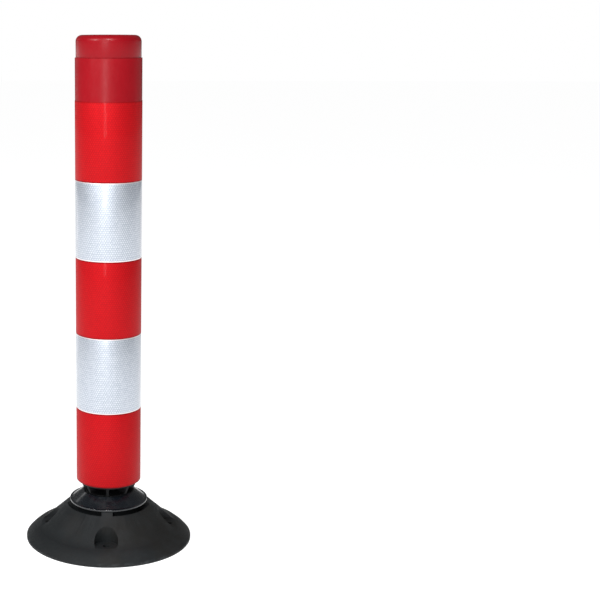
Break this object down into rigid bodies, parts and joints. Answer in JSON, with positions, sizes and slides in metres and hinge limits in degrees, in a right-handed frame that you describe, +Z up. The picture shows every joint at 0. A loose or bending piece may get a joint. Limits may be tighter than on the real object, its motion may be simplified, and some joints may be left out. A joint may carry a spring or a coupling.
{
  "type": "delineator post",
  "caption": "Self-righting delineator post: a striped reflective tube on a tapered foot that tilts in a round rubber base and swivels on a spring-loaded rope.",
  "frame": {"origin": "on the ground, below the middle of the upright post", "axes": "+Z up along the post; the tilt joint at rest lets the post fall towards +X; one ground fixing on each of +X, -X, +Y and -Y"},
  "size_m": [0.25, 0.25, 0.75],
  "materials": {
    "black_rubber": "matt moulded rubber, fine texture",
    "glossy_black_plastic": "glossy moulded plastic",
    "black_plastic": "satin moulded plastic",
    "dark_red_plastic": "satin extruded plastic",
    "red_reflective_film": "prismatic reflective film, honeycomb cells",
    "white_reflective_film": "prismatic reflective film, honeycomb cells",
    "zinc_steel": "zinc-plated steel",
    "spring_steel": "oiled spring steel",
    "wire_rope": "stranded galvanised steel",
    "bronze": "sintered bronze",
    "ferrule_aluminium": "pressed aluminium"
  },
  "bodies": {
    "base": {"rubber_base": "black_rubber", "seat_ring": "glossy_black_plastic", "anchor_plate": "zinc_steel", "plate_screws": "zinc_steel", "swivel_bush": "bronze"},
    "swivel": {"swivel_stud": "zinc_steel", "thrust_washer": "bronze", "swivel_nut": "zinc_steel", "cotter_pin": "zinc_steel"},
    "post": {"foot_plug": "black_plastic", "rope_guide": "bronze", "post_tube": "dark_red_plastic", "plug_screws": "zinc_steel", "film_band_1": "red_reflective_film", "film_band_2": "white_reflective_film", "film_band_3": "red_reflective_film", "film_band_4": "white_reflective_film", "film_band_5": "red_reflective_film", "top_cap": "dark_red_plastic", "spring_washer": "zinc_steel", "return_spring": "spring_steel"},
    "spring_carrier": {"spring_cap": "black_plastic", "rope_ferrule": "ferrule_aluminium", "pull_rope": "wire_rope"}
  },
  "joints": [
    {"name": "post_spin", "type": "hinge", "parent": "base", "child": "swivel", "pos_m": [0, 0, 0], "axis": [0, 0, 1], "continuous": true},
    {"name": "post_tilt", "type": "hinge", "parent": "swivel", "child": "post", "pos_m": [0.03812, 0, 0.073], "axis": [0, 1, 0], "range_deg": [0, 90], "stiffness_Nm_per_rad": 3, "springref_deg": -80.21, "deforming": ["return_spring", "pull_rope"]},
    {"name": "spring_travel", "type": "slide", "parent": "post", "child": "spring_carrier", "axis": [0, 0, 1], "range_m": [-0.0525, 0], "deforming": ["return_spring", "pull_rope"]}
  ],
  "couplings": [
    {"joint": "spring_travel", "follows": "post_tilt", "m_per_rad": -0.0331}
  ]
}
